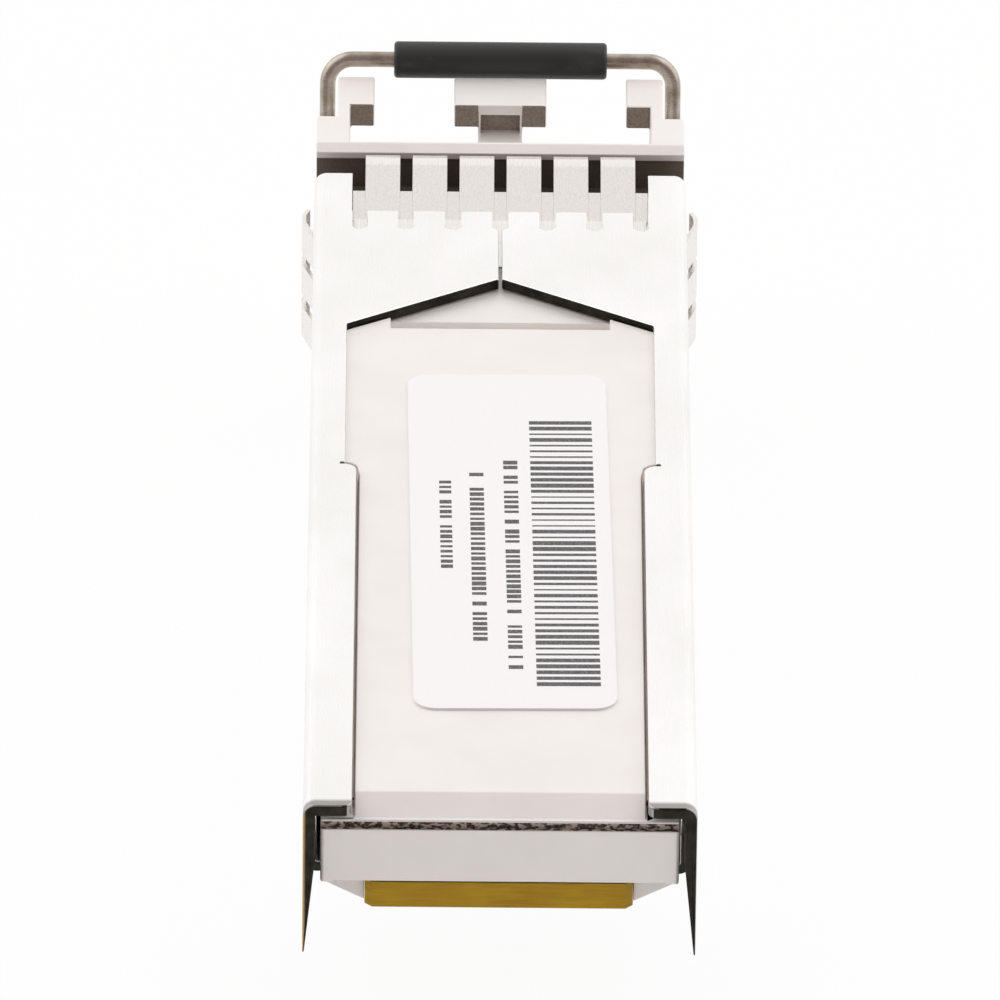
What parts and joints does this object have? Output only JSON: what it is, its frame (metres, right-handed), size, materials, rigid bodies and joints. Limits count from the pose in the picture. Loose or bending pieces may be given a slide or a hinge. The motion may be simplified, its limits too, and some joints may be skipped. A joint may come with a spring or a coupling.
{
  "type": "pluggable optical transceiver",
  "caption": "Small pluggable optical transceiver: folded metal shell, die-cast nose with plug ports, earthing spring fingers, card edge at the rear and a wire bail that frees the latch.",
  "frame": {"origin": "under the middle of the whole object, at the level of the latch boss on which it rests", "axes": "+Y from the card edge to the plug ports, +Z from the latch side to the label side, +X to the right seen from the card edge"},
  "size_m": [0.0142, 0.055, 0.0102],
  "materials": {
    "shell_sheet": "bright nickel-plated sheet",
    "spring_sheet": "nickel-plated spring sheet",
    "plated_casting": "satin nickel-plated zinc die casting",
    "label_film": "satin film with printed bars and blocks",
    "wire_steel": "drawn wire",
    "sleeve_plastic": "moulded",
    "latch_steel": "plain",
    "board_laminate": "glass-fibre laminate with solder resist",
    "gold_plate": "gold plated",
    "chip_resin": "moulded",
    "capacitor_ceramic": "fired",
    "ferrite": "fired",
    "turned_steel": "turned",
    "sleeve_ceramic": "ground",
    "flex_film": "film",
    "gasket_rubber": "matte"
  },
  "bodies": {
    "module": {"outer_shell": "shell_sheet", "spring_collar": "spring_sheet", "base_housing": "plated_casting", "top_cover": "plated_casting", "label": "label_film", "latch_pin": "latch_steel", "latch_spring": "spring_sheet", "circuit_board": "board_laminate", "contact_pads": "gold_plate", "laser_driver": "chip_resin", "receive_amplifier": "chip_resin", "controller": "chip_resin", "memory_chip": "chip_resin", "capacitors": "capacitor_ceramic", "inductors": "ferrite", "transmitter_barrel": "turned_steel", "transmitter_sleeve": "sleeve_ceramic", "transmitter_can": "gold_plate", "transmitter_leads": "gold_plate", "transmitter_flex": "flex_film", "receiver_barrel": "turned_steel", "receiver_sleeve": "sleeve_ceramic", "receiver_can": "gold_plate", "receiver_leads": "gold_plate", "receiver_flex": "flex_film", "optics_clamp": "turned_steel", "optics_gasket": "gasket_rubber"},
    "bail": {"bail_wire": "wire_steel", "bail_sleeve": "sleeve_plastic"},
    "latch": {"latch_lever": "latch_steel"}
  },
  "joints": [
    {"name": "bail_swing", "type": "hinge", "parent": "module", "child": "bail", "pos_m": [0, 0.02414, 0.00195], "axis": [-1, 0, 0], "range_deg": [0, 90]},
    {"name": "latch_rock", "type": "hinge", "parent": "module", "child": "latch", "pos_m": [0, 0.02204, 0.0014], "axis": [-1, 0, 0], "range_deg": [0, 6.5], "deforming": ["latch_spring"]}
  ],
  "couplings": [
    {"joint": "latch_rock", "follows": "bail_swing", "ratio": 0.0722}
  ]
}
